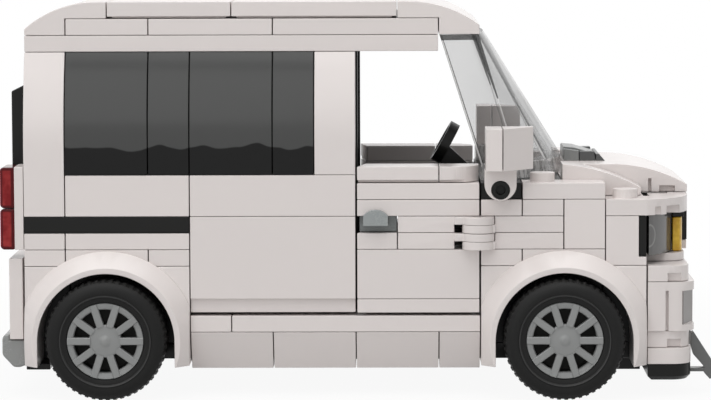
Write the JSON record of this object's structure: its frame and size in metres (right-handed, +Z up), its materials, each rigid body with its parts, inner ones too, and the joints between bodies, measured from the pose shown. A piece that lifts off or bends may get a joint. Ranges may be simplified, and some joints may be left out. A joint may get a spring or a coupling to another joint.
{
  "type": "toy brick-built kei van",
  "caption": "Brick-built toy kei van with opening front doors, free-rolling wheels, tinted rear windows and an open cab.",
  "frame": {"origin": "on the ground under the middle of the van's overall length and width", "axes": "+X forward, +Y to the van's left, +Z up"},
  "size_m": [0.138, 0.082, 0.0764],
  "materials": {
    "white_plastic": "glossy moulded bricks, slightly warm white",
    "black_plastic": "glossy black bricks",
    "tinted_panel": "smooth dark window panels",
    "clear_plastic": "clear moulded windscreen",
    "smoke_clear": "smoky clear lamp lens",
    "red_lens": "transparent red lamp bricks",
    "amber_lens": "transparent amber lamp bricks",
    "grey_plastic": "bluish grey bricks",
    "dark_grey_plastic": "dark bluish grey pieces",
    "rim_plastic": "moulded grey rims",
    "tyre_rubber": "soft black tyres"
  },
  "bodies": {
    "front_door_left": {"front_door_left": "white_plastic", "door_hinge_left": "white_plastic", "door_handle_left": "grey_plastic"},
    "front_door_right": {"front_door_right": "white_plastic", "door_hinge_right": "white_plastic", "door_handle_right": "grey_plastic"},
    "front_left_wheel": {"front_left_rim": "rim_plastic", "front_left_tyre": "tyre_rubber"},
    "front_right_wheel": {"front_right_rim": "rim_plastic", "front_right_tyre": "tyre_rubber"},
    "rear_left_wheel": {"rear_left_rim": "rim_plastic", "rear_left_tyre": "tyre_rubber"},
    "rear_right_wheel": {"rear_right_rim": "rim_plastic", "rear_right_tyre": "tyre_rubber"},
    "van_body": {"axle_blocks": "black_plastic", "bonnet": "white_plastic", "bumper_base": "black_plastic", "bumper_block": "white_plastic", "chassis_plate": "black_plastic", "chin_blade": "dark_grey_plastic", "corner_plates": "white_plastic", "cowl_grille": "dark_grey_plastic", "cowl_plate": "black_plastic", "cowl_slopes": "grey_plastic", "dashboard": "black_plastic", "fender_bricks": "white_plastic", "fender_slopes": "white_plastic", "floor_plates": "black_plastic", "front_arches": "white_plastic", "front_core": "black_plastic", "grille": "black_plastic", "headlamps": "smoke_clear", "hinge_bases": "white_plastic", "inner_walls": "black_plastic", "mirror_pins": "black_plastic", "mirrors": "white_plastic", "nose_curves": "white_plastic", "nose_plates": "white_plastic", "quarter_bricks": "white_plastic", "quarter_panels": "white_plastic", "rear_arches": "white_plastic", "rear_bumper": "grey_plastic", "rear_lamps": "red_lens", "rear_wall": "white_plastic", "rear_window": "tinted_panel", "roof_bricks": "white_plastic", "roof_curves": "white_plastic", "roof_plate": "white_plastic", "roof_tiles": "white_plastic", "side_windows": "tinted_panel", "sill_tiles": "white_plastic", "skirt_slopes": "white_plastic", "sliding_door_left": "white_plastic", "sliding_door_right": "white_plastic", "steering_wheel": "black_plastic", "stripe_tiles": "black_plastic", "tailgate_panel": "white_plastic", "turn_lamps": "amber_lens", "windscreen": "clear_plastic"}
  },
  "joints": [
    {"name": "front_left_wheel_spin", "type": "hinge", "parent": "van_body", "child": "front_left_wheel", "pos_m": [0.0396, 0.0325, 0.0117], "axis": [0, 1, 0], "continuous": true},
    {"name": "front_right_wheel_spin", "type": "hinge", "parent": "van_body", "child": "front_right_wheel", "pos_m": [0.0396, -0.0325, 0.0117], "axis": [0, 1, 0], "continuous": true},
    {"name": "rear_left_wheel_spin", "type": "hinge", "parent": "van_body", "child": "rear_left_wheel", "pos_m": [-0.0484, 0.0325, 0.0117], "axis": [0, 1, 0], "continuous": true},
    {"name": "rear_right_wheel_spin", "type": "hinge", "parent": "van_body", "child": "rear_right_wheel", "pos_m": [-0.0484, -0.0325, 0.0117], "axis": [0, 1, 0], "continuous": true},
    {"name": "front_door_left_hinge", "type": "hinge", "parent": "van_body", "child": "front_door_left", "pos_m": [0.02315, 0.032, 0.032], "axis": [0, 0, -1], "range_deg": [0, 80]},
    {"name": "front_door_right_hinge", "type": "hinge", "parent": "van_body", "child": "front_door_right", "pos_m": [0.02315, -0.032, 0.032], "axis": [0, 0, 1], "range_deg": [0, 80]}
  ]
}
